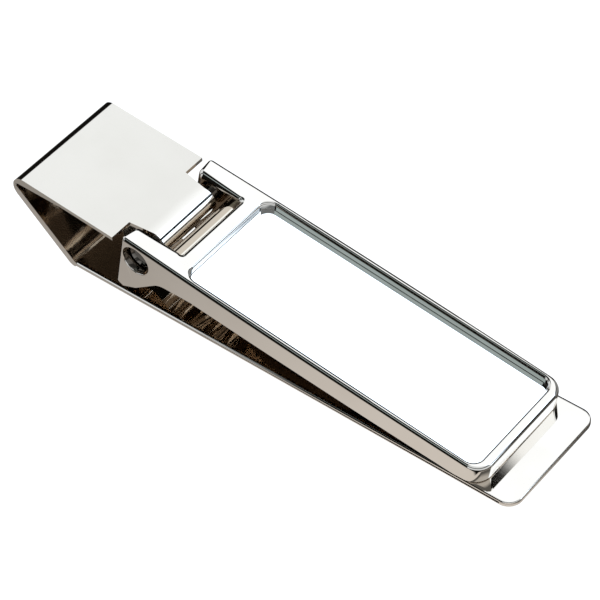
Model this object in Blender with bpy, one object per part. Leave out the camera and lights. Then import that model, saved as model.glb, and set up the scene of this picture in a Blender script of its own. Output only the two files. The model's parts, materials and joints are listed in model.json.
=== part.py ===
"""Money clip with a cam lever.

A folded metal strip is the body: a flat base plate, a rising leg, a tight fold and a top flap
that narrows to a tongue, which is rolled into a hinge knuckle. A cast lever turns on a rivet
through that knuckle. Closed, its nose presses on the base plate; opened, it stands up on the
ends of its two ears. An inlay plate sits in the lever's window on an adhesive film.

Frame: +X points to the free end of the base plate, +Y across the width, +Z up. The origin is
under the middle of the clip's length, on the underside of the base plate. Lengths below are in
millimetres; MM turns them into metres. The lever's own pieces are modelled in a frame that has
its origin on the hinge axis: u along the lever's top face towards the nose, y across, v up.
"""

import math

import bmesh
import bpy
from mathutils import Matrix, Vector

MM = 0.001

# Whole clip
LENGTH = 70.8
WIDTH = 16.0
FREE_END = LENGTH / 2
FOLD_END = -LENGTH / 2

# Hinge
PIN_X = -16.9
PIN_Z = 7.0
PIN_RADIUS = 1.10
LEVER_TILT = math.radians(7.6)

# Strip
BASE_THICKNESS = 0.80
LEG_THICKNESS = 0.98
FLAP_THICKNESS = 0.50
FLAP_ROOT_THICKNESS = 0.95
FREE_END_RADIUS = 1.8
LEG_ANGLE = math.radians(45.5)
HEEL_RADIUS = 1.4
HEEL_INNER_RADIUS = 0.5
FOLD_RADIUS = 1.7
FOLD_INNER_RADIUS = 0.25
FLAP_SLOPE = math.radians(5.7)
FLAP_ROOT_X = -32.7
FLAP_THINNED_X = -28.0
KNUCKLE_CLEARANCE = 0.05
KNUCKLE_END_ANGLE = math.radians(-200)
KNUCKLE_HALF_WIDTH = 4.5
TONGUE_HALF_WIDTH = 5.0
SHOULDER_X = -20.1

# Lever
LEVER_TOP = 2.55
LEVER_NOSE = 48.35
LEVER_HALF_WIDTH = 8.15
LEVER_SIDE_BOW = 0.2
LEVER_BOW_START = 0.0
NOSE_RADIUS = 2.2
NOSE_GAP = 0.05
UNDERSIDE_AT_EAR = (8.2, -0.85)
UNDERSIDE_AT_NOSE = (44.9, -0.23)
EAR_END_TOP = -2.15
EAR_END_LEAN = math.radians(5.4)
EAR_WIDTH_Y = 7.98
CAM_GAP = 0.03
CAM_START_ANGLE = math.radians(-135)
CAM_END_ANGLE = math.radians(-106.5)
ARCH_START = (0.1, -4.85)
ARCH_START_RADIUS = 1.5
ARCH_TOP = (3.5, -1.55)
ARCH_TOP_RADIUS = 3.0
EAR_TIP_RADIUS = 0.5
SLOT_ROOT = 5.45
SLOT_HALF_WIDTH = 5.25
SLOT_MOUTH_RADIUS = 0.9
SLOT_CORNER_RADIUS = 0.3
SILL_CENTRE = (3.42, -0.30)
SILL_RADIUS = 1.48
SILL_UNDERSIDE = ((4.4, -1.38), (5.7, -1.18))
SILL_OVERLAP = 0.3
WINDOW_BACK = 6.82
WINDOW_FRONT = 47.04
WINDOW_HALF_WIDTH = 7.36
WINDOW_RADIUS = 1.4

# Inlay plate and its adhesive film
INLAY_DEPTH = 1.05
INLAY_THICKNESS = 0.60
INLAY_GAP = 0.08
FILM_THICKNESS = 0.10
FILM_INSET = 0.5
FILM_GAP = 0.02

# Rivet
BORE_GAP = 0.02
COUNTERBORE_RADIUS = 1.9
HEAD_RADIUS = 1.60
HEAD_FACE_RADIUS = 1.39
HEAD_CHAMFER = 0.2
HEAD_DOME = 0.15
HEAD_DEPTH = 0.94
HEAD_THICKNESS = 0.80

ARC_STEP = math.radians(8)
ROUND_SIDES = 48
CUT_SPAN = 12.0


def clear_scene():
    for item in list(bpy.data.objects):
        bpy.data.objects.remove(item)


def make_material(name, colour, roughness, metallic):
    material = bpy.data.materials.new(name)
    material.use_nodes = True
    shader = material.node_tree.nodes["Principled BSDF"]
    shader.inputs["Base Color"].default_value = (*colour, 1.0)
    shader.inputs["Roughness"].default_value = roughness
    shader.inputs["Metallic"].default_value = metallic
    return material


def arc(centre, radius, start, end):
    """Points of an arc, both ends included, with steps no longer than ARC_STEP."""
    steps = max(2, math.ceil(abs(end - start) / ARC_STEP))
    angles = [start + (end - start) * i / steps for i in range(steps + 1)]
    return [Vector((centre[0] + radius * math.cos(a), centre[1] + radius * math.sin(a))) for a in angles]


def rounded(corners):
    """A closed outline from corners (x, y, radius), each rounded by its own radius."""
    points = []
    for i, (x, y, radius) in enumerate(corners):
        corner = Vector((x, y))
        if radius == 0:
            points.append(corner)
            continue
        before = (Vector(corners[i - 1][:2]) - corner).normalized()
        after = (Vector(corners[(i + 1) % len(corners)][:2]) - corner).normalized()
        half = before.angle(after) / 2
        centre = corner + (before + after).normalized() * (radius / math.sin(half))
        first = corner + before * (radius / math.tan(half)) - centre
        last = corner + after * (radius / math.tan(half)) - centre
        start = math.atan2(first.y, first.x)
        turn = math.remainder(math.atan2(last.y, last.x) - start, math.tau)
        points.extend(arc(centre, radius, start, start + turn))
    return points


def crossing(point_a, angle_a, point_b, angle_b):
    """Where two lines cross, each given by a point and its direction's angle."""
    direction_a = Vector((math.cos(angle_a), math.sin(angle_a)))
    direction_b = Vector((math.cos(angle_b), math.sin(angle_b)))
    gap = Vector(point_b) - Vector(point_a)
    along = gap.cross(direction_b) / direction_a.cross(direction_b)
    return Vector(point_a) + direction_a * along


def new_object(name, bm, material=None, parent=None):
    bmesh.ops.recalc_face_normals(bm, faces=bm.faces)
    mesh = bpy.data.meshes.new(name)
    bm.to_mesh(mesh)
    bm.free()
    item = bpy.data.objects.new(name, mesh)
    bpy.context.collection.objects.link(item)
    item.parent = parent
    if material:
        mesh.materials.append(material)
    return item


def prism(name, outline, low, high, plane, material=None, parent=None):
    """A closed prism. In plane "side" the outline is (x, z) and the prism runs across y from low
    to high; in plane "plan" the outline is (x, y) and the prism runs up z."""
    bm = bmesh.new()
    if plane == "side":
        corners = [bm.verts.new((p.x * MM, low * MM, p.y * MM)) for p in outline]
        travel = Vector((0, (high - low) * MM, 0))
    else:
        corners = [bm.verts.new((p.x * MM, p.y * MM, low * MM)) for p in outline]
        travel = Vector((0, 0, (high - low) * MM))
    bm.faces.new(corners)
    sweep = bmesh.ops.extrude_face_region(bm, geom=list(bm.faces))
    moved = [item for item in sweep["geom"] if isinstance(item, bmesh.types.BMVert)]
    bmesh.ops.translate(bm, verts=moved, vec=travel)
    return new_object(name, bm, material, parent)


def leaning_prism(name, outline_at, low, high, parent):
    """A closed cutter up z whose (x, y) outline changes evenly from one height to the other."""
    bm = bmesh.new()
    rings = []
    for height in (low, high):
        outline = outline_at(height)
        rings.append([bm.verts.new((p.x * MM, p.y * MM, height * MM)) for p in outline])
        bm.faces.new(rings[-1])
    bottom, top = rings
    for i in range(len(bottom)):
        bm.faces.new((bottom[i - 1], bottom[i], top[i], top[i - 1]))
    return new_object(name, bm, parent=parent)


def turned(name, profile, material, parent=None):
    """A solid turned round the Y axis from (y, radius) points that start and end on the axis."""
    bm = bmesh.new()
    spine = [bm.verts.new((radius * MM, y * MM, 0)) for y, radius in profile]
    edges = [bm.edges.new(pair) for pair in zip(spine, spine[1:])]
    bmesh.ops.spin(
        bm,
        geom=spine + edges,
        cent=(0, 0, 0),
        axis=(0, 1, 0),
        angle=math.tau,
        steps=ROUND_SIDES,
        use_merge=True,
    )
    bmesh.ops.remove_doubles(bm, verts=bm.verts, dist=1e-7)
    return new_object(name, bm, material, parent)


def shape_with(target, tool, operation):
    """Cuts or trims the target by a tool, which stays in the scene as a hidden wire."""
    tool.hide_render = True
    tool.display_type = "WIRE"
    modifier = target.modifiers.new(tool.name, "BOOLEAN")
    modifier.operation = operation
    modifier.solver = "EXACT"
    modifier.object = tool


def shade(item, angle=math.radians(30)):
    item.data.shade_smooth()
    item.data.set_sharp_from_angle(angle=angle)


def knuckle_radius():
    return PIN_RADIUS + KNUCKLE_CLEARANCE + FLAP_THICKNESS


def strip_outline():
    """The strip seen from the side, as (x, z): round the outside, then back along the inside."""
    pin = Vector((PIN_X, PIN_Z))
    outer_radius = knuckle_radius()
    flap_normal = math.pi / 2 - FLAP_SLOPE
    flap_line = -FLAP_SLOPE
    flap_up = Vector((math.cos(flap_normal), math.sin(flap_normal)))
    flap_top = pin + outer_radius * flap_up
    flap_under = pin + (outer_radius - FLAP_THICKNESS) * flap_up
    leg_line = -LEG_ANGLE
    leg_up = Vector((math.sin(LEG_ANGLE), math.cos(LEG_ANGLE)))
    fold_x = FOLD_END + FOLD_RADIUS
    fold = crossing((fold_x, 0), math.pi / 2, flap_top - FOLD_RADIUS * flap_up, flap_line)
    leg_outer = fold - FOLD_RADIUS * leg_up
    heel = crossing(leg_outer, leg_line, (0, 0), 0)
    leg_inner = leg_outer + LEG_THICKNESS * leg_up
    heel_inner = crossing(leg_inner, leg_line, (0, BASE_THICKNESS), 0)
    thinned = crossing((FLAP_THINNED_X, 0), math.pi / 2, flap_under, flap_line)
    root_top = crossing((FLAP_ROOT_X, 0), math.pi / 2, flap_top, flap_line)
    root = root_top - FLAP_ROOT_THICKNESS * flap_up
    root_line = math.atan2(thinned.y - root.y, thinned.x - root.x)
    fold_inner = crossing(leg_inner, leg_line, root, root_line)

    outside = rounded(
        [
            (FREE_END, BASE_THICKNESS, 0),
            (FREE_END, 0, 0),
            (heel.x, heel.y, HEEL_RADIUS),
            (leg_outer.x, leg_outer.y, 0),
        ]
    )[:-1]
    bend = arc(fold, FOLD_RADIUS, math.radians(270) - LEG_ANGLE, flap_normal)
    roll = arc(pin, outer_radius, flap_normal, KNUCKLE_END_ANGLE)
    roll_back = arc(pin, outer_radius - FLAP_THICKNESS, KNUCKLE_END_ANGLE, flap_normal)
    inner_end = roll_back[-1]
    inside = rounded(
        [
            (inner_end.x, inner_end.y, 0),
            (thinned.x, thinned.y, 0),
            (fold_inner.x, fold_inner.y, FOLD_INNER_RADIUS),
            (heel_inner.x, heel_inner.y, HEEL_INNER_RADIUS),
            (FREE_END, BASE_THICKNESS, 0),
        ]
    )[1:-1]
    return outside + bend + roll + roll_back + inside


def make_strip(material):
    strip = prism("spring_strip", strip_outline(), -WIDTH, WIDTH, "side", material)
    half = WIDTH / 2
    plan = rounded(
        [
            (FOLD_END - CUT_SPAN, -half, 0),
            (FREE_END, -half, FREE_END_RADIUS),
            (FREE_END, half, FREE_END_RADIUS),
            (FOLD_END - CUT_SPAN, half, 0),
        ]
    )
    shape_with(strip, prism("strip_plan", plan, -1, 2 * PIN_Z, "plan"), "INTERSECT")
    beyond = PIN_X + 2 * knuckle_radius()
    for side, name in ((-1, "near"), (1, "far")):
        notch = [
            Vector((SHOULDER_X, side * TONGUE_HALF_WIDTH)),
            Vector((PIN_X, side * KNUCKLE_HALF_WIDTH)),
            Vector((beyond, side * KNUCKLE_HALF_WIDTH)),
            Vector((beyond, side * WIDTH)),
            Vector((SHOULDER_X, side * WIDTH)),
        ]
        shape_with(strip, prism(f"notch_{name}", notch, PIN_Z / 2, 2 * PIN_Z, "plan"), "DIFFERENCE")
    shade(strip)
    return strip


def cam_radius():
    """The ear corner's reach from the hinge axis, a little less than the axis's height."""
    return PIN_Z - BASE_THICKNESS - CAM_GAP


def nose_floor(u):
    """The lever's underside at its nose, level with the base plate and just above it."""
    level = BASE_THICKNESS + NOSE_GAP - PIN_Z
    return (level + u * math.sin(LEVER_TILT)) / math.cos(LEVER_TILT)


def ear_end(v):
    """How far back the ears reach at a height: their end faces lean outwards to the foot."""
    return EAR_END_TOP - (LEVER_TOP - v) * math.tan(EAR_END_LEAN)


def lever_side():
    """The lever seen from the side, as (u, v), running on past the ears' leaning ends."""
    cam = arc((0, 0), cam_radius(), CAM_START_ANGLE, CAM_END_ANGLE)
    arch = rounded(
        [
            (cam[-1].x, cam[-1].y, 0),
            (*ARCH_START, ARCH_START_RADIUS),
            (*ARCH_TOP, ARCH_TOP_RADIUS),
            (*UNDERSIDE_AT_EAR, 0),
        ]
    )[1:]
    underside = [Vector(UNDERSIDE_AT_NOSE), Vector((LEVER_NOSE, nose_floor(LEVER_NOSE)))]
    top = [Vector((LEVER_NOSE, LEVER_TOP)), Vector((cam[0].x, LEVER_TOP))]
    return cam + arch + underside + top


def lever_plan(v):
    """The lever's section at a height, as (u, y). Its sides bow slightly and end parallel."""
    middle = (LEVER_NOSE + EAR_END_TOP) / 2
    span = (LEVER_NOSE - EAR_END_TOP) / 2
    bow_radius = (span**2 + LEVER_SIDE_BOW**2) / (2 * LEVER_SIDE_BOW)

    def side_y(u):
        drop = bow_radius - math.sqrt(bow_radius**2 - (u - middle) ** 2)
        return LEVER_HALF_WIDTH - drop

    steps = 16
    bow_length = LEVER_NOSE - NOSE_RADIUS - LEVER_BOW_START
    stations = [LEVER_BOW_START + bow_length * i / steps for i in range(steps)]
    near = [(u, -side_y(u), 0) for u in stations]
    far = [(u, side_y(u), 0) for u in reversed(stations)]
    nose_y = side_y(LEVER_NOSE)
    tip_y = side_y(LEVER_BOW_START)
    tip = ear_end(v)
    return rounded(
        [(tip, -tip_y, EAR_TIP_RADIUS)]
        + near
        + [(LEVER_NOSE, -nose_y, NOSE_RADIUS), (LEVER_NOSE, nose_y, NOSE_RADIUS)]
        + far
        + [(tip, tip_y, EAR_TIP_RADIUS)]
    )


def slot_plan(v):
    """The slot's section at a height, as (u, y), with rounded corners at its root and its mouth."""
    half = SLOT_HALF_WIDTH
    tip = ear_end(v)
    radius = SLOT_MOUTH_RADIUS
    upper = [(SLOT_ROOT, half, SLOT_CORNER_RADIUS), (tip, half, radius)]
    upper += [(tip, half + 2 * radius, 0), (tip - CUT_SPAN, half + 2 * radius, 0)]
    lower = [(u, -y, r) for u, y, r in reversed(upper)]
    return rounded(upper + lower)


def sill_side():
    """The cross-bar's rounded sill seen from the side, which closes the slot under the top edge."""
    nose = arc(SILL_CENTRE, SILL_RADIUS, math.radians(30), math.radians(270))
    end = SILL_UNDERSIDE[-1][0]
    return nose + [Vector(point) for point in SILL_UNDERSIDE] + [Vector((end, nose[0].y))]


def window_plan(inset=0.0):
    half = WINDOW_HALF_WIDTH - inset
    radius = WINDOW_RADIUS - inset
    back = WINDOW_BACK + inset
    front = WINDOW_FRONT - inset
    return rounded(
        [(back, -half, radius), (front, -half, radius), (front, half, radius), (back, half, radius)]
    )


def window_depth():
    return INLAY_DEPTH + INLAY_THICKNESS + FILM_THICKNESS + 2 * FILM_GAP


def make_lever(material, axis):
    lever = prism("lever_frame", lever_side(), -WIDTH, WIDTH, "side", material, axis)
    shape_with(lever, leaning_prism("lever_plan", lever_plan, -CUT_SPAN, CUT_SPAN, axis), "INTERSECT")
    shape_with(lever, leaning_prism("lever_slot", slot_plan, -CUT_SPAN, CUT_SPAN, axis), "DIFFERENCE")
    reach = SLOT_HALF_WIDTH + SILL_OVERLAP
    sill = prism("lever_sill", sill_side(), -reach, reach, "side", parent=axis)
    shape_with(lever, sill, "UNION")
    floor = LEVER_TOP - window_depth()
    window = prism("lever_window", window_plan(), floor, CUT_SPAN, "plan", parent=axis)
    shape_with(lever, window, "DIFFERENCE")
    bore = turned("rivet_bore", cylinder_profile(PIN_RADIUS + BORE_GAP, -WIDTH, WIDTH), None, axis)
    shape_with(lever, bore, "DIFFERENCE")
    head_seat = head_face() - HEAD_THICKNESS - BORE_GAP
    for side, name in ((-1, "near"), (1, "far")):
        ends = sorted((side * head_seat, side * WIDTH))
        counterbore = turned(
            f"counterbore_{name}", cylinder_profile(COUNTERBORE_RADIUS, *ends), None, axis
        )
        shape_with(lever, counterbore, "DIFFERENCE")
    shade(lever)
    return lever


def cylinder_profile(radius, low, high):
    return [(low, 0), (low, radius), (high, radius), (high, 0)]


def head_face():
    """How far out the rims of the rivet's head faces are: recessed from the ears' outer sides."""
    return EAR_WIDTH_Y - HEAD_DEPTH


def rivet_half_profile():
    """From the middle of the shank out to the middle of one head's domed face, as (y, radius)."""
    face = head_face()
    seat = face - HEAD_THICKNESS
    dome = [
        (face + HEAD_DOME * (1 - step * step), HEAD_FACE_RADIUS * step)
        for step in (0.8, 0.6, 0.4, 0.2)
    ]
    rim = [(seat, HEAD_RADIUS), (face - HEAD_CHAMFER, HEAD_RADIUS), (face, HEAD_FACE_RADIUS)]
    return [(seat, PIN_RADIUS)] + rim + dome + [(face + HEAD_DOME, 0)]


def make_rivet(material, axis):
    far = rivet_half_profile()
    near = [(-y, radius) for y, radius in reversed(far)]
    rivet = turned("hinge_rivet", near + far, material, axis)
    shade(rivet)
    return rivet


def make_inlay(material, axis):
    top = LEVER_TOP - INLAY_DEPTH
    outline = window_plan(INLAY_GAP)
    return prism("inlay_plate", outline, top - INLAY_THICKNESS, top, "plan", material, axis)


def make_film(material, axis):
    top = LEVER_TOP - INLAY_DEPTH - INLAY_THICKNESS - FILM_GAP
    outline = window_plan(FILM_INSET)
    return prism("adhesive_film", outline, top - FILM_THICKNESS, top, "plan", material, axis)


def make_lever_axis():
    axis = bpy.data.objects.new("lever_axis", None)
    bpy.context.collection.objects.link(axis)
    axis.matrix_world = Matrix.Translation((PIN_X * MM, 0, PIN_Z * MM)) @ Matrix.Rotation(
        LEVER_TILT, 4, "Y"
    )
    return axis


def build():
    clear_scene()
    nickel = make_material("polished_nickel", (0.80, 0.77, 0.72), 0.08, 1.0)
    lever_nickel = make_material("lever_nickel", (0.80, 0.77, 0.72), 0.08, 1.0)
    dark_steel = make_material("rivet_steel", (0.62, 0.58, 0.53), 0.12, 1.0)
    bright_plate = make_material("inlay_bright", (0.93, 0.94, 0.94), 0.05, 1.0)
    film = make_material("adhesive", (0.75, 0.74, 0.70), 0.6, 0.0)
    axis = make_lever_axis()
    make_strip(nickel)
    make_lever(lever_nickel, axis)
    make_rivet(dark_steel, axis)
    make_inlay(bright_plate, axis)
    make_film(film, axis)


build()
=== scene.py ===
"""The money clip's looks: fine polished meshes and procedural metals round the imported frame.

Each visible piece is rebuilt from its design dimensions with close arcs and rounded edges, since
polished plate shows every facet, and then stands for its CAD node on the same body. The slot's
root, the window's half width and the sill's centre are up to 1 mm away from the CAD's, to suit the
rounded edges. Shapes are made in millimetres and scaled to metres at the end. The lever's pieces
are made in a frame whose origin is the hinge axis: u along the lever's top face to the nose,
y across, v up.
"""

import json
import math

import bmesh
import bpy
from mathutils import Matrix, Vector


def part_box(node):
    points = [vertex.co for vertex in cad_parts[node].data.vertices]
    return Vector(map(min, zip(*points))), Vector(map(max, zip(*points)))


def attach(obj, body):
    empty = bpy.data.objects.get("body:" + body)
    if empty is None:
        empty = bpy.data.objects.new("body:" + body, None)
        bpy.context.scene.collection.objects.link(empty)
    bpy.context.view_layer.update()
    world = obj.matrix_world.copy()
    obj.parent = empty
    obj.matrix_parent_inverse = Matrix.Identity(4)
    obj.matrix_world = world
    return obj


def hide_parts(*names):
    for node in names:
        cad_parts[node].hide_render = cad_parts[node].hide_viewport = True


MM = 0.001

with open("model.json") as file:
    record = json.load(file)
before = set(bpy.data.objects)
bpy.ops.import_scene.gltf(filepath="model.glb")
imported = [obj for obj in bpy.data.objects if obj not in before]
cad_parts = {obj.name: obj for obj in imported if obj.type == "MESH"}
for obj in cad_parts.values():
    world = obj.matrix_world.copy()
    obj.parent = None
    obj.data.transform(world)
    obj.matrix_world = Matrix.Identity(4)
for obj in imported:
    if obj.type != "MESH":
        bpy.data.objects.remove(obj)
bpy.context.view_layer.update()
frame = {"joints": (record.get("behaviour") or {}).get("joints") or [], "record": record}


def packed(kind, name):
    """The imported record's entry of that name."""
    rows = frame["record"]["mounts"] if kind == "mount" else frame["joints"]
    return next(row for row in rows if row["name"] == name)


# Places that the frame gives
PIN_X, PIN_Y, PIN_Z = (value / MM for value in packed("joint", "lever_hinge")["pos_m"])
INLAY_NORMAL = packed("mount", "inlay_face")["axis"]
LEVER_TILT = math.atan2(INLAY_NORMAL[0], INLAY_NORMAL[2])
STRIP_LOW, STRIP_HIGH = (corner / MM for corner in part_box("spring_strip"))
FOLD_END = STRIP_LOW.x
FREE_END = STRIP_HIGH.x
STRIP_HALF_WIDTH = STRIP_HIGH.y

# Strip
BASE_THICKNESS = 0.80
LEG_THICKNESS = 0.98
FLAP_THICKNESS = 0.50
FLAP_ROOT_THICKNESS = 0.95
FREE_END_RADIUS = 1.8
LEG_ANGLE = math.radians(45.5)
HEEL_RADIUS = 1.4
HEEL_INNER_RADIUS = 0.5
FOLD_RADIUS = 1.7
FOLD_INNER_RADIUS = 0.25
FLAP_SLOPE = math.radians(5.7)
FLAP_ROOT_X = -32.7
FLAP_THINNED_X = -28.0
PIN_RADIUS = 1.10
KNUCKLE_CLEARANCE = 0.05
KNUCKLE_RADIUS = PIN_RADIUS + KNUCKLE_CLEARANCE + FLAP_THICKNESS
KNUCKLE_END_ANGLE = math.radians(-200)
KNUCKLE_HALF_WIDTH = 4.5
TONGUE_HALF_WIDTH = 5.0
SHOULDER_X = -20.1
STRIP_FILLET = 0.20
BASE_FILLET = 0.32

# Lever
LEVER_TOP = 2.55
LEVER_NOSE = 48.35
LEVER_HALF_WIDTH = 8.15
LEVER_SIDE_BOW = 0.2
LEVER_BOW_START = 0.0
LEVER_BOW_STEPS = 32
NOSE_RADIUS = 2.2
NOSE_GAP = 0.05
UNDERSIDE_AT_EAR = (8.2, -0.85)
UNDERSIDE_AT_NOSE = (44.9, -0.23)
EAR_END_TOP = -2.15
EAR_END_LEAN = math.radians(5.4)
EAR_TIP_RADIUS = 0.5
EAR_WIDTH_Y = 7.98
CAM_GAP = 0.03
CAM_START_ANGLE = math.radians(-135)
CAM_END_ANGLE = math.radians(-106.5)
ARCH_START = (0.1, -4.85)
ARCH_START_RADIUS = 1.5
ARCH_TOP = (3.5, -1.55)
ARCH_TOP_RADIUS = 3.0
SLOT_ROOT = 4.45
SLOT_HALF_WIDTH = 5.25
SLOT_MOUTH_RADIUS = 0.9
SLOT_CORNER_RADIUS = 0.3
SILL_CENTRE = (3.56, -0.32)
SILL_RADIUS = 1.48
SILL_START_ANGLE = math.radians(30)
SILL_END_ANGLE = math.radians(270)
SILL_OVERLAP = 0.3
SILL_UNDERSIDE = ((4.4, -1.38), (5.7, -1.18))
WINDOW_BACK = 6.82
WINDOW_FRONT = 47.04
WINDOW_HALF_WIDTH = 7.30
WINDOW_RADIUS = 1.4
TOP_FILLET = 0.45
SLOT_FILLET = 0.50
ROOT_FILLET = 0.92
BAR_FADE = (0.1, 1.0)
MOUTH_FILLET = 0.80
MOUTH_FADE_END = 2.0
SLOT_RIM = 0.8
OUTER_RIM = 0.7
WINDOW_FILLET = 0.36
UNDER_FILLET = 0.14
UNDER_FILLET_DEPTH = 1.0

# Inlay plate and its adhesive film
INLAY_DEPTH = 1.05
INLAY_THICKNESS = 0.60
INLAY_GAP = 0.03
INLAY_FILLET = 0.03
INLAY_FILLET_SEGMENTS = 3
FILM_THICKNESS = 0.10
FILM_INSET = 0.5
FILM_FILLET = 0.02
FILM_FILLET_SEGMENTS = 2
FILM_GAP = 0.02

# Rivet
BORE_GAP = 0.02
COUNTERBORE_RADIUS = 1.9
COUNTERBORE_FILLET = 0.14
HEAD_RADIUS = 1.60
HEAD_FACE_RADIUS = 1.39
HEAD_CHAMFER = 0.2
HEAD_RIM_STEPS = 8
HEAD_DOME = 0.15
HEAD_DOME_STEPS = 10
HEAD_DEPTH = 0.94
HEAD_THICKNESS = 0.80

# Meshing
ARC_STEP = math.radians(3)
ROUND_SIDES = 120
CUT_SPAN = 12.0
FILLET_STEPS = 6
FILLET_SEGMENTS = 5
WELD = 1e-4
SHARP_EDGE = math.radians(25)
SHADE_ANGLE = math.radians(38)

# Camera, seen from the clip
CAMERA_AZIMUTH = math.radians(41.568)
CAMERA_ELEVATION = math.radians(46.702)
CAMERA_ROLL = math.radians(-4.360)
CAMERA_TARGET = Vector((-0.522, 1.149, 2.824))
CAMERA_DISTANCE = 297.04
CAMERA_LENS = 157.1
CAMERA_SENSOR = 36.0

# Metals
NICKEL = (0.56, 0.495, 0.427)
NICKEL_WORN = (0.62, 0.56, 0.49)
# Painted shade: a darker tint for the flap's top, so that it reflects dimmer than the lever's top
NICKEL_FLAP_SHADE = (0.465, 0.413, 0.352)
# Painted shade: a darker, browner tint for the inside of the slot
NICKEL_SLOT_SHADE = (0.35, 0.28, 0.21)
NICKEL_ROUGHNESS = 0.025
# Painted shade: the rivet's steel is tinted nearly black, so that its heads, sunk in their counterbores,
# read dark
SHADED_STEEL = (0.09, 0.08, 0.07)
SHADED_STEEL_WORN = (0.15, 0.13, 0.11)
STEEL_ROUGHNESS = 0.08
BRIGHT = (0.90, 0.91, 0.91)
BRIGHT_WORN = (0.94, 0.95, 0.95)
BRIGHT_ROUGHNESS = 0.02

# Surface noise, as cycles per millimetre, and bump depths in metres
HAZE_SCALE = 0.16
LINE_SCALE = 7.0
WAVE_SCALE = 0.10
# The next scale is for the patches of the flap's painted shade
SHADE_PATCH_SCALE = 0.13
DIMPLE_SCALE = 3.0
ALONG_X = (0.08, 1.0, 1.0)
EVEN = (1, 1, 1)
LINE_DEPTH = 1.5e-8
WAVE_DEPTH = 2.5e-6
INLAY_WAVE_DEPTH = 1e-6
DIMPLE_DEPTH = 1e-5
WORN_POINTINESS = (0.52, 0.60)
WORN_ROUGHNESS = 0.03

# Parts of the metal tinted darker as painted shade: the flap's top and the inside of the slot. Each pair
# is where the tint is absent and where it is full
FLAP_SHADE_X = (SHOULDER_X + 4, SHOULDER_X + 2)
FLAP_SHADE_Z = (PIN_Z + 1.0, PIN_Z + 1.4)
FLAP_SHADE_CLOUD = (0.3, 0.7, 0.88, 1.0)
SLOT_SHADE_X = (PIN_X + SLOT_ROOT + 1.0, PIN_X + SLOT_ROOT)
SLOT_SHADE_Y = (SLOT_HALF_WIDTH + 0.1, SLOT_HALF_WIDTH - 0.1)
SLOT_SHADE_Z = (PIN_Z + 1.4, PIN_Z + 1.1)

# Floor. The camera sees it pale all over, by the lift. The metal sees a pool of light close to the
# clip, dim beside the lever's far side and dark at its nose, and a lit apron beyond the free end.
FLOOR_SIZE = 3.0
FLOOR_TONE = 0.3
FLOOR_LIFT = 0.95
POOL_NEAR = 10.0
POOL_FAR = 32.0
POOL_EDGE = 0.02
POOL_EAR = 0.53
POOL_NOSE = 1.0
POOL_EAR_TO_NOSE_X = (-40.0, 30.0)
POOL_BACK = 0.8
POOL_BACK_TO_FRONT_Y = (6.0, -6.0)
POOL_SHADE = 0.75
SHADE_X = (-26.0, -20.0)
SHADE_Y = (17.0, 14.0)
NOSE_DARK_X = (30.5, 31.5)
NOSE_DARK_Y = (-8.7, -9.0)
FREE_END_LIT_X = (FREE_END + 1, FREE_END)
APRON_X = (40.0, 60.0)
APRON = 0.45

# Sky colours
SKY_STRENGTH = 1.9
DARK = (0.005, 0.005, 0.0045)
HORIZON = (0.06, 0.07, 0.08)
DUSK = (0.14, 0.16, 0.18)
DIM = (0.22, 0.25, 0.28)
ROOM = (0.30, 0.38, 0.42)
SOFT = (0.62, 0.70, 0.79)
WHITE = (0.93, 1.05, 1.19)
GLARE = (1.45, 1.80, 2.25)

# Sectors of the sky, by components of the direction. Each pair is where the sector starts to show
# and where it is full
BEHIND_Y = (0.10, 0.30)
FOLD_X = (-0.48, -0.54)
RIGHT_X = (0.0, 0.15)
SEAM_X = (0.43, 0.47)
SIDE_X = (0.68, 0.71)
END_X = (0.44, 0.50)
END_Y = (0.517, 0.530)
FACING_X = (0.0, -0.10)
FACING_Y = (-0.38, -0.44)
OPEN_RIGHT_X = (-0.10, -0.02)
OPEN_LEFT_X = (-0.62, -0.68)
OPEN_CORNER_X = (-0.43, -0.50)
OPEN_CORNER_Y = (-0.53, -0.59)
BAND_Y = 0.50
OFF_BACK_BAND = (0.10, 0.16)
OFF_FRONT_BAND = (0.08, 0.14)
LEFT_LIGHT_X = (-0.30, -0.40)
FAR_LIGHT_Y = (0.50, 0.60)


# ---------------------------------------------------------------- outlines


def arc(centre, radius, start, end):
    """Points of an arc, both ends included, with steps no longer than ARC_STEP."""
    steps = max(3, math.ceil(abs(end - start) / ARC_STEP))
    angles = [start + (end - start) * i / steps for i in range(steps + 1)]
    return [Vector((centre[0] + radius * math.cos(a), centre[1] + radius * math.sin(a))) for a in angles]


def rounded(corners):
    """A closed outline from corners (x, y, radius), each rounded by its own radius."""
    points = []
    for i, (x, y, radius) in enumerate(corners):
        corner = Vector((x, y))
        if radius == 0:
            points.append(corner)
            continue
        before = (Vector(corners[i - 1][:2]) - corner).normalized()
        after = (Vector(corners[(i + 1) % len(corners)][:2]) - corner).normalized()
        half = before.angle(after) / 2
        centre = corner + (before + after).normalized() * (radius / math.sin(half))
        first = corner + before * (radius / math.tan(half)) - centre
        last = corner + after * (radius / math.tan(half)) - centre
        start = math.atan2(first.y, first.x)
        turn = math.remainder(math.atan2(last.y, last.x) - start, math.tau)
        points.extend(arc(centre, radius, start, start + turn))
    return points


def crossing(point_a, angle_a, point_b, angle_b):
    """Where two lines cross, each given by a point and its direction's angle."""
    direction_a = Vector((math.cos(angle_a), math.sin(angle_a)))
    direction_b = Vector((math.cos(angle_b), math.sin(angle_b)))
    gap = Vector(point_b) - Vector(point_a)
    return Vector(point_a) + direction_a * (gap.cross(direction_b) / direction_a.cross(direction_b))


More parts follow.
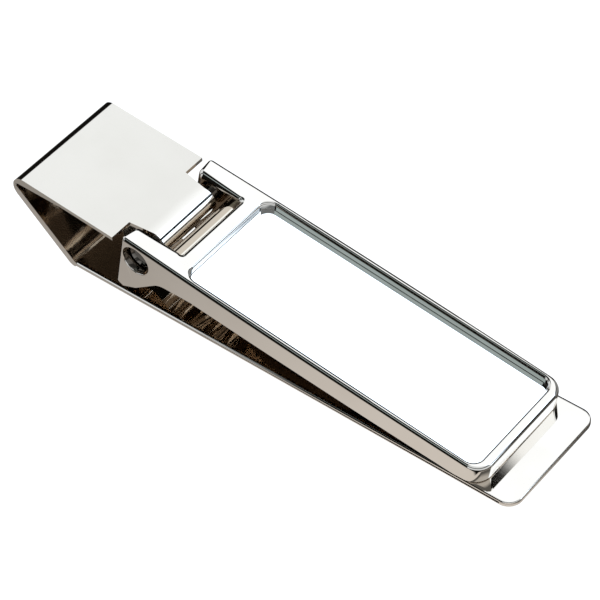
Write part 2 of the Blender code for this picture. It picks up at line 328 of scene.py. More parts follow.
def strip_outline():
    """The strip seen from the side, as (x, z): round the outside, then back along the inside."""
    pin = Vector((PIN_X, PIN_Z))
    flap_normal = math.pi / 2 - FLAP_SLOPE
    flap_up = Vector((math.cos(flap_normal), math.sin(flap_normal)))
    flap_top = pin + KNUCKLE_RADIUS * flap_up
    flap_under = pin + (KNUCKLE_RADIUS - FLAP_THICKNESS) * flap_up
    leg_up = Vector((math.sin(LEG_ANGLE), math.cos(LEG_ANGLE)))
    fold_line = (FOLD_END + FOLD_RADIUS, 0)
    fold = crossing(fold_line, math.pi / 2, flap_top - FOLD_RADIUS * flap_up, -FLAP_SLOPE)
    leg_outer = fold - FOLD_RADIUS * leg_up
    heel = crossing(leg_outer, -LEG_ANGLE, (0, 0), 0)
    leg_inner = leg_outer + LEG_THICKNESS * leg_up
    heel_inner = crossing(leg_inner, -LEG_ANGLE, (0, BASE_THICKNESS), 0)
    thinned = crossing((FLAP_THINNED_X, 0), math.pi / 2, flap_under, -FLAP_SLOPE)
    root_top = crossing((FLAP_ROOT_X, 0), math.pi / 2, flap_top, -FLAP_SLOPE)
    root = root_top - FLAP_ROOT_THICKNESS * flap_up
    root_line = math.atan2(thinned.y - root.y, thinned.x - root.x)
    fold_inner = crossing(leg_inner, -LEG_ANGLE, root, root_line)
    outside = rounded(
        [
            (FREE_END, BASE_THICKNESS, 0),
            (FREE_END, 0, 0),
            (heel.x, heel.y, HEEL_RADIUS),
            (leg_outer.x, leg_outer.y, 0),
        ]
    )[:-1]
    bend = arc(fold, FOLD_RADIUS, math.radians(270) - LEG_ANGLE, flap_normal)
    roll = arc(pin, KNUCKLE_RADIUS, flap_normal, KNUCKLE_END_ANGLE)
    roll_back = arc(pin, KNUCKLE_RADIUS - FLAP_THICKNESS, KNUCKLE_END_ANGLE, flap_normal)
    inside = rounded(
        [
            (roll_back[-1].x, roll_back[-1].y, 0),
            (thinned.x, thinned.y, 0),
            (fold_inner.x, fold_inner.y, FOLD_INNER_RADIUS),
            (heel_inner.x, heel_inner.y, HEEL_INNER_RADIUS),
            (FREE_END, BASE_THICKNESS, 0),
        ]
    )[1:-1]
    return outside + bend + roll + roll_back + inside


def nose_floor(u):
    """The lever's underside at its nose, level with the base plate and just above it."""
    level = BASE_THICKNESS + NOSE_GAP - PIN_Z
    return (level + u * math.sin(LEVER_TILT)) / math.cos(LEVER_TILT)


def ear_end(v):
    """How far back the ears reach at a height: their end faces lean outwards to the foot."""
    return EAR_END_TOP - (LEVER_TOP - v) * math.tan(EAR_END_LEAN)


def lever_side():
    """The lever seen from the side, as (u, v), running on past the ears' leaning ends."""
    cam = arc((0, 0), PIN_Z - BASE_THICKNESS - CAM_GAP, CAM_START_ANGLE, CAM_END_ANGLE)
    arch = rounded(
        [
            (cam[-1].x, cam[-1].y, 0),
            (*ARCH_START, ARCH_START_RADIUS),
            (*ARCH_TOP, ARCH_TOP_RADIUS),
            (*UNDERSIDE_AT_EAR, 0),
        ]
    )[1:]
    underside = [Vector(UNDERSIDE_AT_NOSE), Vector((LEVER_NOSE, nose_floor(LEVER_NOSE)))]
    beyond = LEVER_NOSE + 1
    above = LEVER_TOP + CUT_SPAN
    top = [(beyond, underside[-1].y), (beyond, above), (cam[0].x, above)]
    return cam + arch + underside + [Vector(point) for point in top]


def sill_side():
    """The cross-bar's rounded sill seen from the side, running into the bar behind the slot."""
    nose = arc(SILL_CENTRE, SILL_RADIUS, SILL_START_ANGLE, SILL_END_ANGLE)
    end = SILL_UNDERSIDE[-1][0]
    return nose + [Vector(point) for point in SILL_UNDERSIDE] + [Vector((end, nose[0].y))]


def lever_side_y(u):
    """Half the lever's width along its slightly bowed sides."""
    middle = (LEVER_NOSE + EAR_END_TOP) / 2
    span = (LEVER_NOSE - EAR_END_TOP) / 2
    bow_radius = (span**2 + LEVER_SIDE_BOW**2) / (2 * LEVER_SIDE_BOW)
    return LEVER_HALF_WIDTH - bow_radius + math.sqrt(bow_radius**2 - (u - middle) ** 2)


def lever_plan(v):
    """The lever's section at a height, as (u, y): its outside and the slot in one loop."""
    bow_length = LEVER_NOSE - NOSE_RADIUS - LEVER_BOW_START
    stations = [LEVER_BOW_START + bow_length * i / LEVER_BOW_STEPS for i in range(LEVER_BOW_STEPS)]
    near = [(u, -lever_side_y(u), 0) for u in stations]
    far = [(u, lever_side_y(u), 0) for u in reversed(stations)]
    nose_y = lever_side_y(LEVER_NOSE)
    tip_y = lever_side_y(LEVER_BOW_START)
    tip = ear_end(v)
    slot_y = SLOT_HALF_WIDTH
    return rounded(
        [(tip, -tip_y, EAR_TIP_RADIUS)]
        + near
        + [(LEVER_NOSE, -nose_y, NOSE_RADIUS), (LEVER_NOSE, nose_y, NOSE_RADIUS)]
        + far
        + [(tip, tip_y, EAR_TIP_RADIUS), (tip, slot_y, SLOT_MOUTH_RADIUS)]
        + [(SLOT_ROOT, slot_y, SLOT_CORNER_RADIUS), (SLOT_ROOT, -slot_y, SLOT_CORNER_RADIUS)]
        + [(tip, -slot_y, SLOT_MOUTH_RADIUS)]
    )


def window_plan(inset=0.0):
    """The window's outline, or the outline of a plate that lies in it with a gap all round."""
    half = WINDOW_HALF_WIDTH - inset
    radius = WINDOW_RADIUS - inset
    back = WINDOW_BACK + inset
    front = WINDOW_FRONT - inset
    return rounded(
        [(back, -half, radius), (front, -half, radius), (front, half, radius), (back, half, radius)]
    )


def head_face():
    """How far out the rims of the rivet's head faces are."""
    return EAR_WIDTH_Y - HEAD_DEPTH


# ---------------------------------------------------------------- solids


def new_object(name, bm):
    """An object in the scene from the mesh data, which is used up."""
    bmesh.ops.recalc_face_normals(bm, faces=bm.faces)
    mesh = bpy.data.meshes.new(name)
    bm.to_mesh(mesh)
    bm.free()
    item = bpy.data.objects.new(name, mesh)
    bpy.context.scene.collection.objects.link(item)
    return item


def lofted(name, rings):
    """A closed solid through rings of matching points, capped at both ends."""
    bm = bmesh.new()
    made = [[bm.verts.new(point) for point in ring] for ring in rings]
    bm.faces.new(made[0])
    bm.faces.new(made[-1])
    for lower, upper in zip(made, made[1:]):
        for i in range(len(lower)):
            bm.faces.new((lower[i - 1], lower[i], upper[i], upper[i - 1]))
    return new_object(name, bm)


def smooth_step(value, low, high):
    """0 up to low, 1 from high, and an even S curve between them."""
    share = min(1.0, max(0.0, (value - low) / (high - low)))
    return share * share * (3 - 2 * share)


def moved_out(outline, distances):
    """A counterclockwise outline with each point moved out by its own distance."""
    moved = []
    for i, point in enumerate(outline):
        before = (point - outline[i - 1]).normalized()
        after = (outline[(i + 1) % len(outline)] - point).normalized()
        along = (before + after).normalized()
        moved.append(point + Vector((along.y, -along.x)) * distances[i])
    return moved


def edge_rings(outline, top, widths, outwards):
    """Rings up a quarter round at the top of a wall. Outwards is 1 for a flared hole, -1 for a body."""
    rings = []
    for step in range(FILLET_STEPS + 1):
        turn = math.radians(90) * step / FILLET_STEPS
        shifts = [outwards * width * (1 - math.cos(turn)) for width in widths]
        heights = [top - width * (1 - math.sin(turn)) for width in widths]
        ring = moved_out(outline, shifts)
        rings.append([(p.x, p.y, height) for p, height in zip(ring, heights)])
    return rings


def side_prism(name, outline, low, high):
    """A solid with an outline seen from the side, between two places across."""
    return lofted(name, [[(p.x, y, p.y) for p in outline] for y in (low, high)])


def plan_prism(name, outline_at, low, high):
    """A solid with an outline seen from above, which may change from its low to its high end."""
    return lofted(name, [[(p.x, p.y, z) for p in outline_at(z)] for z in (low, high)])


def turned(name, profile):
    """A solid turned round the Y axis from (y, radius) points that start and end on the axis."""
    bm = bmesh.new()
    spine = [bm.verts.new((radius, y, 0)) for y, radius in profile]
    edges = [bm.edges.new(pair) for pair in zip(spine, spine[1:])]
    bmesh.ops.spin(
        bm,
        geom=spine + edges,
        cent=(0, 0, 0),
        axis=(0, 1, 0),
        angle=math.tau,
        steps=ROUND_SIDES,
        use_merge=True,
    )
    bmesh.ops.remove_doubles(bm, verts=bm.verts, dist=WELD)
    return new_object(name, bm)


def settle(item):
    """Makes the item's modifiers part of its mesh."""
    depsgraph = bpy.context.evaluated_depsgraph_get()
    mesh = bpy.data.meshes.new_from_object(item.evaluated_get(depsgraph))
    item.modifiers.clear()
    item.data = mesh


def shape_with(target, tool, operation):
    """Cuts, trims or extends the target by a tool, which is used up."""
    modifier = target.modifiers.new(operation, "BOOLEAN")
    modifier.operation = operation
    modifier.solver = "EXACT"
    modifier.object = tool
    settle(target)
    bpy.data.objects.remove(tool)


def fillet(item, width, chosen=lambda middle: True, segments=FILLET_SEGMENTS):
    """Rounds the item's sharp outer edges whose middles are chosen."""
    bm = bmesh.new()
    bm.from_mesh(item.data)
    bmesh.ops.remove_doubles(bm, verts=bm.verts, dist=WELD)
    weights = bm.edges.layers.float.new("bevel_weight_edge")
    for edge in bm.edges:
        middle = (edge.verts[0].co + edge.verts[1].co) / 2
        sharp = len(edge.link_faces) == 2 and edge.calc_face_angle_signed(0) > SHARP_EDGE
        edge[weights] = float(sharp and chosen(middle))
    bm.to_mesh(item.data)
    bm.free()
    modifier = item.modifiers.new("fillet", "BEVEL")
    modifier.limit_method = "WEIGHT"
    modifier.offset_type = "OFFSET"
    modifier.width = width
    modifier.segments = segments
    modifier.use_clamp_overlap = False
    settle(item)


def strip():
    """The folded strip: its side view cut to its plan, with the tongue's notches and rounded edges."""
    item = side_prism("strip", strip_outline(), -2 * STRIP_HALF_WIDTH, 2 * STRIP_HALF_WIDTH)
    half = STRIP_HALF_WIDTH
    plan = rounded(
        [
            (FOLD_END - CUT_SPAN, -half, 0),
            (FREE_END, -half, FREE_END_RADIUS),
            (FREE_END, half, FREE_END_RADIUS),
            (FOLD_END - CUT_SPAN, half, 0),
        ]
    )
    shape_with(item, plan_prism("plan", lambda z: plan, -1, 2 * PIN_Z), "INTERSECT")
    beyond = PIN_X + 2 * KNUCKLE_RADIUS
    for side in (-1, 1):
        notch = [
            Vector((SHOULDER_X, side * TONGUE_HALF_WIDTH)),
            Vector((PIN_X, side * KNUCKLE_HALF_WIDTH)),
            Vector((beyond, side * KNUCKLE_HALF_WIDTH)),
            Vector((beyond, side * 2 * half)),
            Vector((SHOULDER_X, side * 2 * half)),
        ]
        shape_with(item, plan_prism("notch", lambda z: notch, PIN_Z / 2, 2 * PIN_Z), "DIFFERENCE")
    level = BASE_THICKNESS + WELD
    fillet(item, BASE_FILLET, lambda middle: middle.z < level and middle.x > 0)
    fillet(item, STRIP_FILLET, lambda middle: middle.z > level or middle.x < 0)
    return item


def top_fillet(point):
    """The width of the lever's top fillet: plain outside, wider in the slot, widest at its mouth."""
    mouth = 1 - smooth_step(point.x, EAR_END_TOP, SLOT_ROOT - MOUTH_FADE_END)
    inside = SLOT_FILLET + (MOUTH_FILLET - SLOT_FILLET) * mouth
    root = smooth_step(point.x, SLOT_ROOT - SLOT_CORNER_RADIUS, SLOT_ROOT)
    inside += (ROOT_FILLET - SLOT_FILLET) * root
    width = abs(point.y)
    in_slot = 1 - smooth_step(width, SLOT_HALF_WIDTH + SLOT_RIM, LEVER_HALF_WIDTH - OUTER_RIM)
    in_slot *= 1 - smooth_step(point.x, SLOT_ROOT + BAR_FADE[0], SLOT_ROOT + BAR_FADE[1])
    return TOP_FILLET + (inside - TOP_FILLET) * in_slot


def lever():
    """The lever with its ears, slot, window, sill, bore and counterbores."""
    side = side_prism("lever", lever_side(), -2 * LEVER_HALF_WIDTH, 2 * LEVER_HALF_WIDTH)
    foot = [(p.x, p.y, -CUT_SPAN) for p in lever_plan(-CUT_SPAN)]
    outline = lever_plan(LEVER_TOP)
    shoulders = edge_rings(outline, LEVER_TOP, [top_fillet(p) for p in outline], -1)
    shape_with(side, lofted("plan", [foot] + shoulders), "INTERSECT")
    window_floor = LEVER_TOP - INLAY_DEPTH - INLAY_THICKNESS - FILM_THICKNESS - 2 * FILM_GAP
    window = window_plan()
    flare = edge_rings(window, LEVER_TOP, [WINDOW_FILLET] * len(window), 1)
    bottom = [(p.x, p.y, window_floor) for p in window]
    above = [(x, y, z + CUT_SPAN) for x, y, z in flare[-1]]
    shape_with(side, lofted("window", [bottom] + flare + [above]), "DIFFERENCE")
    sill_half = SLOT_HALF_WIDTH + SILL_OVERLAP
    shape_with(side, side_prism("sill", sill_side(), -sill_half, sill_half), "UNION")
    low = LEVER_TOP - UNDER_FILLET_DEPTH
    fillet(side, UNDER_FILLET, lambda middle: middle.z < low and abs(middle.y) > sill_half)
    bore = PIN_RADIUS + BORE_GAP
    far = 2 * LEVER_HALF_WIDTH
    shape_with(side, turned("bore", [(-far, 0), (-far, bore), (far, bore), (far, 0)]), "DIFFERENCE")
    seat = head_face() - HEAD_THICKNESS - BORE_GAP
    for sign in (-1, 1):
        profile = [(seat, 0), (seat, COUNTERBORE_RADIUS)]
        lip = lever_side_y(0)
        for step in range(FILLET_STEPS + 1):
            turn = math.radians(90) * step / FILLET_STEPS
            out = COUNTERBORE_FILLET * (1 - math.cos(turn))
            rise = COUNTERBORE_FILLET * (1 - math.sin(turn))
            profile.append((lip - rise, COUNTERBORE_RADIUS + out))
        profile += [(far, COUNTERBORE_RADIUS + COUNTERBORE_FILLET), (far, 0)]
        signed = [(sign * y, radius) for y, radius in profile]
        shape_with(side, turned("counterbore", signed), "DIFFERENCE")
    return side


def rivet():
    """The pin with its two heads, each with a rounded rim and a low dome."""
    face = head_face()
    seat = face - HEAD_THICKNESS
    rim_radius = HEAD_RADIUS - HEAD_FACE_RADIUS
    rim = []
    for step in range(HEAD_RIM_STEPS + 1):
        turn = math.radians(90) * step / HEAD_RIM_STEPS
        inward = HEAD_CHAMFER * (1 - math.sin(turn))
        rim.append((face - inward, HEAD_FACE_RADIUS + rim_radius * math.cos(turn)))
    dome = []
    for step in range(1, HEAD_DOME_STEPS):
        share = 1 - step / HEAD_DOME_STEPS
        dome.append((face + HEAD_DOME * (1 - share**2), HEAD_FACE_RADIUS * share))
    far = [(seat, PIN_RADIUS), (seat, HEAD_RADIUS)] + rim + dome + [(face + HEAD_DOME, 0)]
    near = [(-y, radius) for y, radius in reversed(far)]
    return turned("rivet", near + far)


def inlay():
    """The blank plate on the window's floor."""
    top = LEVER_TOP - INLAY_DEPTH
    outline = window_plan(INLAY_GAP)
    item = plan_prism("inlay", lambda v: outline, top - INLAY_THICKNESS, top)
    fillet(item, INLAY_FILLET, segments=INLAY_FILLET_SEGMENTS)
    return item


def film():
    """The adhesive film under the inlay plate."""
    top = LEVER_TOP - INLAY_DEPTH - INLAY_THICKNESS - FILM_GAP
    outline = window_plan(FILM_INSET)
    item = plan_prism("film", lambda v: outline, top - FILM_THICKNESS, top)
    fillet(item, FILM_FILLET, segments=FILM_FILLET_SEGMENTS)
    return item


# ---------------------------------------------------------------- materials


class Nodes:
    """A small helper that adds nodes to a tree and wires them."""

    def __init__(self, tree):
        self.tree = tree
        tree.nodes.clear()

    def add(self, kind, settings=(), **inputs):
        node = self.tree.nodes.new(kind)
        for name, value in dict(settings).items():
            setattr(node, name, value)
        for name, value in inputs.items():
            self.feed(node.inputs[name.replace("_", " ")], value)
        return node

    def feed(self, socket, value):
        if isinstance(value, bpy.types.NodeSocket):
            self.tree.links.new(value, socket)
        else:
            socket.default_value = value

    def maths(self, operation, a, b=0.0, clamp=False):
        node = self.add("ShaderNodeMath", {"operation": operation, "use_clamp": clamp})
        self.feed(node.inputs[0], a)
        self.feed(node.inputs[1], b)
        return node.outputs[0]

    def ramp(self, factor, stops, interpolation="LINEAR"):
        node = self.add("ShaderNodeValToRGB", Fac=factor)
        node.color_ramp.interpolation = interpolation
        elements = node.color_ramp.elements
        while len(elements) < len(stops):
            elements.new(0.5)
        for element, (position, colour) in zip(elements, stops):
            element.position = position
            element.color = (*colour, 1.0)
        return node.outputs["Color"]

    def mix(self, factor, first, second):
        node = self.add("ShaderNodeMix", {"data_type": "RGBA"})
        for socket, value in ((0, factor), (6, first), (7, second)):
            self.feed(node.inputs[socket], value)
        return node.outputs[2]

    def product(self, *values):
        result = values[0]
        for value in values[1:]:
            result = self.maths("MULTIPLY", result, value)
        return result

    def less(self, value):
        """What is left of 1."""
        return self.maths("SUBTRACT", 1.0, value)

    def between(self, value, low, high, out_low=0.0, out_high=1.0):
        """A smooth step from the low value's output to the high value's. Low may be above high."""
        node = self.add("ShaderNodeMapRange", {"interpolation_type": "SMOOTHSTEP"}, Value=value)
        for socket, number in zip(list(node.inputs)[1:5], (low, high, out_low, out_high)):
            socket.default_value = number
        return node.outputs[0]


def grain(nodes, stretch, scale, detail=2.0):
    """Noise in the object's own millimetres, drawn out by stretch along each axis."""
    place = nodes.add("ShaderNodeTexCoord").outputs["Object"]
    mapping = nodes.add("ShaderNodeMapping", Vector=place)
    mapping.inputs["Scale"].default_value = [value / MM for value in stretch]
    noise = nodes.add("ShaderNodeTexNoise", Vector=mapping.outputs[0], Scale=scale, Detail=detail)
    return noise.outputs[0]


def step_mm(nodes, value, ends):
    """A smooth step between two places in millimetres."""
    start, full = ends
    return nodes.between(value, start * MM, full * MM)


def flap_painted_shade(nodes, place):
    """The flap's top, tinted darker in cloudy patches as painted shade, so that it reflects dimmer than
    the lever's top.
    """
    across = step_mm(nodes, place.outputs["X"], FLAP_SHADE_X)
    raised = step_mm(nodes, place.outputs["Z"], FLAP_SHADE_Z)
    patchy_shade = nodes.between(grain(nodes, EVEN, SHADE_PATCH_SCALE, 3.0), *FLAP_SHADE_CLOUD)
    return nodes.product(across, raised, patchy_shade)


def slot_painted_shade(nodes, place):
    """The inside of the lever's slot, tinted darker and browner as painted shade."""
    inside = step_mm(nodes, nodes.maths("ABSOLUTE", place.outputs["Y"]), SLOT_SHADE_Y)
    behind_bar = step_mm(nodes, place.outputs["X"], SLOT_SHADE_X)
    below_top = step_mm(nodes, place.outputs["Z"], SLOT_SHADE_Z)
    return nodes.product(inside, behind_bar, below_top)


def plated_metal(
    name, tint, worn_tint, roughness, polish=ALONG_X, wave=WAVE_DEPTH, painted_shade_zone=None, painted_shade_tint=None
):
    """Polished plate: faint waviness, fine polishing lines, haze that varies, worn edges, and a darker
    tint painted as shade over a zone, when one is given.
    """
    material = bpy.data.materials.new(name)
    material.use_nodes = True
    nodes = Nodes(material.node_tree)
    haze = grain(nodes, EVEN, HAZE_SCALE, 4.0)
    lines = grain(nodes, polish, LINE_SCALE, 3.0)
    waves = grain(nodes, EVEN, WAVE_SCALE, 1.0)
    pointiness = nodes.add("ShaderNodeNewGeometry").outputs["Pointiness"]
    worn = nodes.between(pointiness, *WORN_POINTINESS)
    hazy = nodes.between(haze, 0.40, 0.70, roughness * 0.7, roughness * 1.6)
    lined = nodes.maths("MULTIPLY", nodes.between(lines, 0.5, 0.75), roughness * 0.6)
    rubbed = nodes.maths("MULTIPLY", worn, WORN_ROUGHNESS)
    rough = nodes.maths("ADD", nodes.maths("ADD", hazy, lined), rubbed)
    tone = nodes.between(haze, 0.35, 0.65, 0.0, 0.35)
    tone = nodes.maths("ADD", tone, nodes.maths("MULTIPLY", worn, 0.5), clamp=True)
    colour = nodes.ramp(tone, [(0.0, tint), (1.0, worn_tint)])
    # Painted shade: the zone's darker tint is laid over the metal's colour
    if painted_shade_zone:
        place = nodes.add("ShaderNodeTexCoord").outputs["Object"]
        share = painted_shade_zone(nodes, nodes.add("ShaderNodeSeparateXYZ", Vector=place))
        colour = nodes.mix(share, colour, (*painted_shade_tint, 1.0))
    wavy = nodes.add("ShaderNodeBump", Height=waves, Distance=wave, Strength=1.0)
    fine = nodes.add(
        "ShaderNodeBump", Height=lines, Distance=LINE_DEPTH, Strength=1.0, Normal=wavy.outputs[0]
    )
    shader = nodes.add(
        "ShaderNodeBsdfPrincipled",
        Base_Color=colour,
        Metallic=1.0,
        Roughness=rough,
        Normal=fine.outputs[0],
    )
    output = nodes.add("ShaderNodeOutputMaterial")
    nodes.feed(output.inputs["Surface"], shader.outputs[0])
    return material


def film_material():
    """Pale adhesive with a fine dimpled surface."""
    material = bpy.data.materials.new("adhesive_look")
    material.use_nodes = True
    nodes = Nodes(material.node_tree)
    dimples = grain(nodes, EVEN, DIMPLE_SCALE, 3.0)
    colour = nodes.ramp(dimples, [(0.3, (0.68, 0.66, 0.60)), (0.7, (0.78, 0.77, 0.73))])
    bump = nodes.add("ShaderNodeBump", Height=dimples, Distance=DIMPLE_DEPTH, Strength=1.0)
    rough = nodes.between(dimples, 0.3, 0.7, 0.5, 0.7)
    shader = nodes.add(
        "ShaderNodeBsdfPrincipled", Base_Color=colour, Roughness=rough, Normal=bump.outputs[0]
    )
    output = nodes.add("ShaderNodeOutputMaterial")
    nodes.feed(output.inputs["Surface"], shader.outputs[0])
    return material


# ---------------------------------------------------------------- assembly


def finish_piece(item, name, place, body, node, material):
    """Scales the piece to metres, shades it, and puts it on its body in its node's place."""
    item.name = name
    bm = bmesh.new()
    bm.from_mesh(item.data)
    bmesh.ops.dissolve_degenerate(bm, edges=bm.edges, dist=WELD)
    bm.to_mesh(item.data)
    bm.free()
    item.data.transform(place @ Matrix.Scale(MM, 4))
    item.data.materials.clear()
    item.data.materials.append(material)
    item.data.shade_smooth()
    item.data.set_sharp_from_angle(angle=SHADE_ANGLE)
    normals = item.modifiers.new("even_normals", "WEIGHTED_NORMAL")
    normals.keep_sharp = True
    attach(item, body)
    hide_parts(node)


def build_clip():
    on_strip = Matrix.Identity(4)
    at_hinge = Matrix.Translation(Vector((PIN_X, PIN_Y, PIN_Z)) * MM)
    on_lever = at_hinge @ Matrix.Rotation(LEVER_TILT, 4, "Y")
    nickel = (NICKEL, NICKEL_WORN, NICKEL_ROUGHNESS)
    steel = (SHADED_STEEL, SHADED_STEEL_WORN, STEEL_ROUGHNESS)
    bright = (BRIGHT, BRIGHT_WORN, BRIGHT_ROUGHNESS)
    # The strip and the lever carry painted shade: darker tints on the flap's top and inside the slot
    strip_look = plated_metal("strip_nickel", *nickel, painted_shade_zone=flap_painted_shade, painted_shade_tint=NICKEL_FLAP_SHADE)
    lever_look = plated_metal("lever_nickel", *nickel, painted_shade_zone=slot_painted_shade, painted_shade_tint=NICKEL_SLOT_SHADE)
    # The rivet's nearly black steel is painted shade
    rivet_look = plated_metal("rivet_steel", *steel, polish=EVEN)
    inlay_look = plated_metal("inlay_bright", *bright, wave=INLAY_WAVE_DEPTH)
    finish_piece(strip(), "folded_strip", on_strip, "clip_body", "spring_strip", strip_look)
    finish_piece(lever(), "cam_lever", on_lever, "lever", "lever_frame", lever_look)
    finish_piece(rivet(), "headed_rivet", on_lever, "lever", "hinge_rivet", rivet_look)
    finish_piece(inlay(), "polished_inlay", on_lever, "lever", "inlay_plate", inlay_look)
    finish_piece(film(), "thin_adhesive", on_lever, "lever", "adhesive_film", film_material())


# ---------------------------------------------------------------- studio


def pool_of_light(nodes, place):
    """How bright the metal sees the floor at a place."""
    beyond = []
    for axis, reach in (("X", FREE_END), ("Y", STRIP_HALF_WIDTH)):
        size = nodes.maths("ABSOLUTE", place.outputs[axis])
        beyond.append(nodes.maths("MAXIMUM", nodes.maths("SUBTRACT", size, reach * MM), 0.0))
    squares = [nodes.maths("MULTIPLY", value, value) for value in beyond]
    distance = nodes.maths("SQRT", nodes.maths("ADD", *squares))
    start, full = (value * MM for value in POOL_EAR_TO_NOSE_X)
    along = nodes.between(place.outputs["X"], start, full, POOL_EAR, POOL_NOSE)
    front = step_mm(nodes, place.outputs["Y"], POOL_BACK_TO_FRONT_Y)
    beside = step_mm(nodes, place.outputs["X"], SHADE_X)
    shade = nodes.maths("MULTIPLY", beside, step_mm(nodes, place.outputs["Y"], SHADE_Y))
    shade = nodes.less(nodes.maths("MULTIPLY", shade, POOL_SHADE))
    back = nodes.product(nodes.less(front), POOL_BACK, shade)
    strength = nodes.maths("ADD", nodes.maths("MULTIPLY", front, along), back)
    fading = nodes.between(distance, POOL_NEAR * MM, POOL_FAR * MM, 1.0, POOL_EDGE)
    short_of_end = step_mm(nodes, place.outputs["X"], FREE_END_LIT_X)
    past_nose = step_mm(nodes, place.outputs["X"], NOSE_DARK_X)
    past_edge = step_mm(nodes, place.outputs["Y"], NOSE_DARK_Y)
    off_nose = nodes.less(nodes.maths("MULTIPLY", past_nose, past_edge))
    pool = nodes.product(fading, strength, short_of_end, off_nose)
    apron = nodes.maths("MULTIPLY", step_mm(nodes, place.outputs["X"], APRON_X), APRON)
    return nodes.maths("ADD", pool, apron)


def floor():
    bm = bmesh.new()
    bmesh.ops.create_grid(bm, x_segments=8, y_segments=8, size=FLOOR_SIZE)
    item = new_object("floor", bm)
    material = bpy.data.materials.new("pale_floor")
    material.use_nodes = True
    nodes = Nodes(material.node_tree)
    position = nodes.add("ShaderNodeTexCoord").outputs["Object"]
    place = nodes.add("ShaderNodeSeparateXYZ", Vector=position)
    pool = pool_of_light(nodes, place)
    pooled = nodes.add("ShaderNodeEmission", Color=(1, 1, 1, 1), Strength=pool)
    plain = nodes.add("ShaderNodeBsdfDiffuse", Color=(FLOOR_TONE, FLOOR_TONE, FLOOR_TONE, 1))
    glow = nodes.add("ShaderNodeEmission", Color=(1, 1, 1, 1), Strength=FLOOR_LIFT)
    pale = nodes.add("ShaderNodeAddShader")
    nodes.feed(pale.inputs[0], plain.outputs[0])
    nodes.feed(pale.inputs[1], glow.outputs[0])
    seen = nodes.add("ShaderNodeLightPath").outputs["Is Camera Ray"]
    both = nodes.add("ShaderNodeMixShader")
    for socket, value in zip(both.inputs, (seen, pooled.outputs[0], pale.outputs[0])):
        nodes.feed(socket, value)
    output = nodes.add("ShaderNodeOutputMaterial")
    nodes.feed(output.inputs["Surface"], both.outputs[0])
    item.data.materials.append(material)


def back_light(nodes, across, away, height):
    """The sky behind the clip: soft boxes with dark gaps, by height, in sectors from left to right."""
    back = nodes.ramp(height, [(0.63, DARK), (0.70, WHITE), (1.0, WHITE)], "EASE")
    fold = nodes.ramp(height, [(0.54, DARK), (0.60, WHITE), (1.0, WHITE)], "EASE")
    right = nodes.ramp(height, [(0.63, DARK), (0.70, GLARE), (1.0, GLARE)], "EASE")
    seam = nodes.ramp(height, [(0.697, DARK), (0.707, GLARE), (1.0, GLARE)])
    side = nodes.ramp(height, [(0.16, DARK), (0.24, GLARE), (0.66, GLARE), (0.70, DARK)])
    end = nodes.ramp(height, [(0.55, DARK), (0.60, GLARE), (0.68, GLARE), (0.72, DARK)])
    past_hinge = nodes.product(nodes.between(away, *END_Y), nodes.between(across, *END_X))
    back = nodes.mix(nodes.between(across, *FOLD_X), back, fold)
    back = nodes.mix(nodes.between(across, *RIGHT_X), back, right)
    back = nodes.mix(nodes.between(across, *SEAM_X), back, seam)
    back = nodes.mix(nodes.between(across, *SIDE_X), back, side)
    return nodes.mix(past_hinge, back, end)


def front_light(nodes, across, away, height):
    """The sky behind the camera: dark, with a cool patch high on the left."""
    patch = nodes.ramp(height, [(0.74, DARK), (0.77, ROOM), (0.87, ROOM), (0.90, DARK)])
    left = nodes.product(nodes.between(across, *FACING_X), nodes.between(away, *FACING_Y))
    return nodes.mix(left, (*DARK, 1.0), patch)


def room_light(nodes, across, away, height):
    """The soft light of the open room."""
    middle = [(0.56, SOFT), (0.62, DUSK), (0.85, DUSK), (0.90, SOFT)]
    near = nodes.ramp(height, [(0, HORIZON), (0.15, SOFT)] + middle)
    left = nodes.ramp(height, [(0, HORIZON), (0.15, SOFT), (0.70, SOFT), (0.77, DARK)])
    far = nodes.ramp(height, [(0, HORIZON), (0.15, DIM), (0.56, DIM), (0.62, DARK)])
    room = nodes.mix(nodes.between(across, *LEFT_LIGHT_X), near, left)
    return nodes.mix(nodes.between(away, *FAR_LIGHT_Y), room, far)


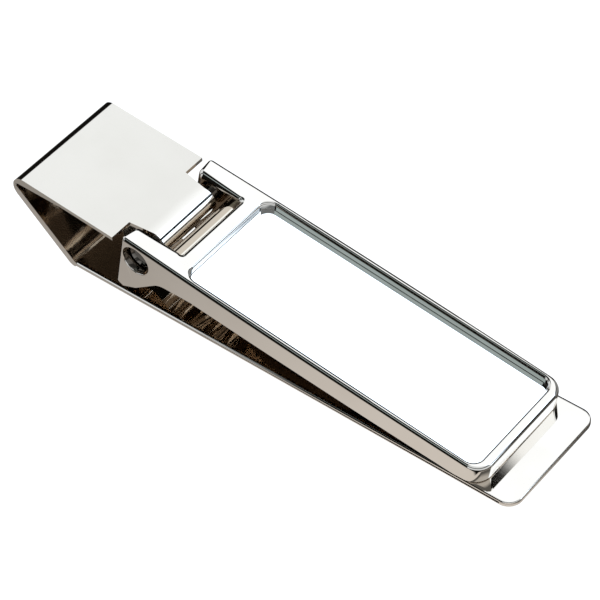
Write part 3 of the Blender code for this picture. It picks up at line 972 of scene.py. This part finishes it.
def room_share(nodes, across, away):
    """How much of the open room a direction sees: the sides that the main view hardly mirrors."""
    off_back = nodes.maths("ABSOLUTE", nodes.maths("SUBTRACT", away, BAND_Y))
    off_back = nodes.between(off_back, *OFF_BACK_BAND)
    off_front = nodes.maths("ABSOLUTE", nodes.maths("ADD", away, BAND_Y))
    off_front = nodes.between(off_front, *OFF_FRONT_BAND)
    right = nodes.between(across, *OPEN_RIGHT_X)
    left = nodes.product(nodes.between(across, *OPEN_LEFT_X), off_front)
    corner = nodes.between(across, *OPEN_CORNER_X)
    corner = nodes.product(corner, nodes.between(away, *OPEN_CORNER_Y))
    left = nodes.maths("MAXIMUM", left, corner)
    return nodes.product(nodes.maths("MAXIMUM", right, left), off_back)


def studio_sky():
    """Soft boxes above and behind with dark gaps between them, and a soft open room elsewhere."""
    world = bpy.data.worlds.new("studio")
    bpy.context.scene.world = world
    world.use_nodes = True
    nodes = Nodes(world.node_tree)
    direction = nodes.add("ShaderNodeTexCoord").outputs["Generated"]
    parts = nodes.add("ShaderNodeSeparateXYZ", Vector=direction)
    across, away, height = (parts.outputs[axis] for axis in "XYZ")
    front = front_light(nodes, across, away, height)
    back = back_light(nodes, across, away, height)
    sky = nodes.mix(nodes.between(away, *BEHIND_Y), front, back)
    room = room_light(nodes, across, away, height)
    sky = nodes.mix(room_share(nodes, across, away), sky, room)
    background = nodes.add("ShaderNodeBackground", Color=sky, Strength=SKY_STRENGTH)
    output = nodes.add("ShaderNodeOutputWorld")
    nodes.feed(output.inputs["Surface"], background.outputs[0])


def camera():
    a, e, roll = CAMERA_AZIMUTH, CAMERA_ELEVATION, CAMERA_ROLL
    back = Vector((math.sin(a) * math.cos(e), -math.cos(a) * math.cos(e), math.sin(e)))
    level = Vector((math.cos(a), math.sin(a), 0))
    upright = back.cross(level)
    right = level * math.cos(roll) + upright * math.sin(roll)
    up = upright * math.cos(roll) - level * math.sin(roll)
    data = bpy.data.cameras.new("camera")
    data.lens = CAMERA_LENS
    data.sensor_width = CAMERA_SENSOR
    data.clip_start = 0.01
    item = bpy.data.objects.new("camera", data)
    bpy.context.scene.collection.objects.link(item)
    turn = Matrix((right, up, back)).transposed().to_4x4()
    item.matrix_world = Matrix.Translation((CAMERA_TARGET + back * CAMERA_DISTANCE) * MM) @ turn
    bpy.context.scene.camera = item


def colour_and_bounces():
    scene = bpy.context.scene
    scene.view_settings.view_transform = "Standard"
    scene.cycles.max_bounces = 16
    scene.cycles.glossy_bounces = 14


build_clip()
floor()
studio_sky()
camera()
colour_and_bounces()
